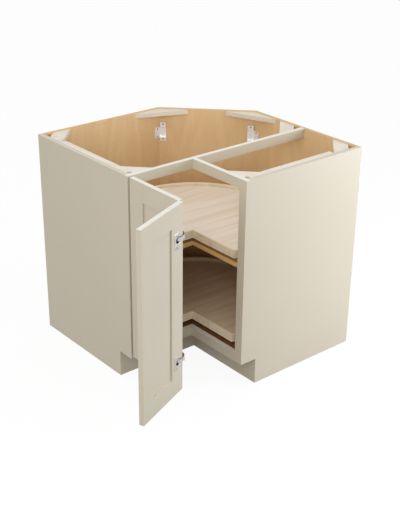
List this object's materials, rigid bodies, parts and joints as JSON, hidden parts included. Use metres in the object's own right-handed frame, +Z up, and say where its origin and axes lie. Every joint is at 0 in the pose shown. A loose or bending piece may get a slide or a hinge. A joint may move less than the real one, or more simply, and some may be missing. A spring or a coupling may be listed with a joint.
{
  "type": "corner carousel cabinet",
  "caption": "Inside-corner kitchen base cabinet with a clipped back, a folding two-leaf door and two turning pie-cut trays on ring bearings.",
  "frame": {"origin": "on the floor, on the vertical axis that both trays turn about, at the foot of the bearer", "axes": "+Z up, +Y out of the back against the left wall, +X out of the back against the right wall; the door faces -X -Y"},
  "size_m": [1.1705, 1.0223, 0.8763],
  "materials": {
    "paint": "satin warm off-white paint on hardwood and panel",
    "birch": "clear-coated honey birch plywood",
    "shelf_ply": "golden plywood with a visible edge",
    "block_ply": "bare pale plywood and softwood",
    "maple": "clear-coated pale maple veneer",
    "rim_ply": "bent tan plywood with a light top edge",
    "nickel": "nickel-plated hinge steel",
    "zinc_steel": "dull zinc-plated bracket steel",
    "dark_steel": "pressed bearing steel"
  },
  "bodies": {
    "cabinet": {"end_panel_left": "paint", "end_panel_right": "paint", "back_panel_left": "birch", "back_panel_right": "birch", "back_panel_diagonal": "birch", "cabinet_floor": "birch", "fixed_shelf": "shelf_ply", "face_stile_left": "paint", "face_stile_right": "paint", "bottom_rail_left": "paint", "bottom_rail_right": "paint", "top_rail_left_brace": "paint", "top_rail_right": "paint", "toe_board_left": "paint", "toe_board_right": "paint", "floor_bearer": "block_ply", "corner_block_front_left": "block_ply", "corner_block_front_right": "block_ply", "corner_block_rear_left": "block_ply", "corner_block_rear_right": "block_ply", "corner_block_diagonal_left": "block_ply", "corner_block_diagonal_right": "block_ply", "corner_block_brace": "block_ply", "top_cleat_left": "block_ply", "top_cleat_right": "block_ply", "corner_bracket_left": "zinc_steel", "corner_bracket_right": "zinc_steel", "upper_bearing_base": "dark_steel", "lower_bearing_base": "dark_steel", "stile_hinge_arm_upper": "nickel", "stile_hinge_arm_lower": "nickel"},
    "first_leaf": {"leaf_1_hinge_stile": "paint", "leaf_1_far_stile": "paint", "leaf_1_top_rail": "paint", "leaf_1_bottom_rail": "paint", "leaf_1_panel": "paint", "stile_hinge_cup_upper": "nickel", "stile_hinge_cup_lower": "nickel", "fold_hinge_arm_upper": "nickel", "fold_hinge_arm_lower": "nickel"},
    "second_leaf": {"leaf_2_hinge_stile": "paint", "leaf_2_far_stile": "paint", "leaf_2_top_rail": "paint", "leaf_2_bottom_rail": "paint", "leaf_2_panel": "paint", "fold_hinge_cup_upper": "nickel", "fold_hinge_cup_lower": "nickel"},
    "upper_carousel": {"upper_tray_deck": "maple", "upper_tray_curved_rim": "rim_ply", "upper_tray_notch_rim_left": "rim_ply", "upper_tray_notch_rim_right": "rim_ply", "upper_bearing_top": "dark_steel"},
    "lower_carousel": {"lower_tray_deck": "maple", "lower_tray_curved_rim": "rim_ply", "lower_tray_notch_rim_left": "rim_ply", "lower_tray_notch_rim_right": "rim_ply", "lower_bearing_top": "dark_steel"},
    "upper_balls": {"upper_bearing_ball_ring": "nickel"},
    "lower_balls": {"lower_bearing_ball_ring": "nickel"}
  },
  "joints": [
    {"name": "door_swing", "type": "hinge", "parent": "cabinet", "child": "first_leaf", "pos_m": [-0.42016, -0.13966, 0.4986], "axis": [0, 0, -1], "range_deg": [-90, 20]},
    {"name": "door_fold", "type": "hinge", "parent": "first_leaf", "child": "second_leaf", "pos_m": [-0.42706, -0.41326, 0.4986], "axis": [0, 0, 1], "range_deg": [-22.4, 5]},
    {"name": "upper_turn", "type": "hinge", "parent": "cabinet", "child": "upper_carousel", "pos_m": [0, 0, 0.5385], "axis": [0, 0, 1], "range_deg": [-360, 360]},
    {"name": "lower_turn", "type": "hinge", "parent": "cabinet", "child": "lower_carousel", "pos_m": [0, 0, 0.1755], "axis": [0, 0, 1], "range_deg": [-360, 360]},
    {"name": "upper_balls_roll", "type": "hinge", "parent": "cabinet", "child": "upper_balls", "pos_m": [0, 0, 0.531], "axis": [0, 0, 1], "range_deg": [-181, 181]},
    {"name": "lower_balls_roll", "type": "hinge", "parent": "cabinet", "child": "lower_balls", "pos_m": [0, 0, 0.16235], "axis": [0, 0, 1], "range_deg": [-181, 181]}
  ],
  "couplings": [
    {"joint": "door_fold", "follows": "door_swing", "ratio": 0.24889},
    {"joint": "upper_balls_roll", "follows": "upper_turn", "ratio": 0.5},
    {"joint": "lower_balls_roll", "follows": "lower_turn", "ratio": 0.5}
  ]
}
